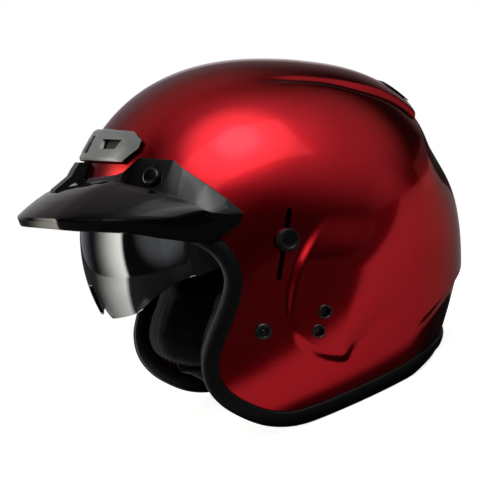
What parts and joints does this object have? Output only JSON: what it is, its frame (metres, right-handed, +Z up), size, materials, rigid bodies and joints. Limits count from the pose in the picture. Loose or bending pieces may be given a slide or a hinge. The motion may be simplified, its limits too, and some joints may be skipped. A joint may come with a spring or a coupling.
{
  "type": "motorcycle helmet",
  "caption": "Open-face motorcycle helmet in candy red with a detachable black peak, a drop-down tinted sun lens worked by a side slider, a forehead vent and a D-ring chin strap.",
  "frame": {"origin": "middle of the footprint of the bounding box, on the plane that the lower rim stands on", "axes": "+Z up; -Y is the way the face looks; +X is the wearer's left. The helmet leans back 21 degrees because it stands on its lower rim"},
  "size_m": [0.2552, 0.3004, 0.2482],
  "materials": {
    "candy_paint": "candy red metallic paint under clear lacquer over a moulded shell",
    "trim_rubber": "matt black extruded edge trim",
    "foam": "dark expanded polystyrene foam",
    "liner_fabric": "black brushed knit over soft foam",
    "peak_plastic": "polished black",
    "black_plastic": "satin black moulded plastic",
    "knob_plastic": "semi-gloss black",
    "vent_silver": "silver-grey painted plastic",
    "smoke_lens": "smoke-tinted polycarbonate with a light mirror coating",
    "webbing": "black woven webbing",
    "steel": "polished steel",
    "dark_steel": "dark nickel-plated steel"
  },
  "bodies": {
    "helmet": {"outer_shell": "candy_paint", "edge_trim": "trim_rubber", "foam_liner": "foam", "crown_liner": "liner_fabric", "cheek_pad_left": "liner_fabric", "cheek_pad_right": "liner_fabric", "neck_roll": "liner_fabric", "peak": "peak_plastic", "peak_button_left": "black_plastic", "peak_button_right": "black_plastic", "peak_centre_clip": "black_plastic", "vent_cover": "vent_silver", "vent_base": "black_plastic", "exhaust_vent": "black_plastic", "lens_bracket_left": "black_plastic", "lens_bracket_right": "black_plastic", "pivot_screw_left": "steel", "pivot_screw_right": "steel", "chin_strap_left": "webbing", "chin_strap_right": "webbing", "d_ring_upper": "steel", "d_ring_lower": "steel", "strap_snap_left": "dark_steel", "strap_snap_right": "dark_steel", "strap_hanger_left": "steel", "strap_hanger_right": "steel", "side_socket_upper_left": "dark_steel", "side_socket_upper_right": "dark_steel", "side_socket_lower_left": "dark_steel", "side_socket_lower_right": "dark_steel"},
    "lens": {"sun_lens": "smoke_lens", "lens_arm_left": "black_plastic", "lens_arm_right": "black_plastic"},
    "lens_slider": {"slider_knob": "knob_plastic", "slider_carriage": "black_plastic"},
    "vent_shutter": {"vent_slider": "black_plastic"}
  },
  "joints": [
    {"name": "lens_tilt", "type": "hinge", "parent": "helmet", "child": "lens", "pos_m": [-0.0025, -0.0051, 0.1232], "axis": [1, 0, 0], "range_deg": [-38, 8.6]},
    {"name": "knob_slide", "type": "slide", "parent": "helmet", "child": "lens_slider", "axis": [-0.0554, 0.5142, 0.8558], "range_m": [-0.0252, 0.0057]},
    {"name": "vent_slide", "type": "slide", "parent": "helmet", "child": "vent_shutter", "axis": [0, 0.7626, 0.6469], "range_m": [0, 0.005]}
  ],
  "couplings": [
    {"joint": "knob_slide", "follows": "lens_tilt", "m_per_rad": 0.038}
  ]
}
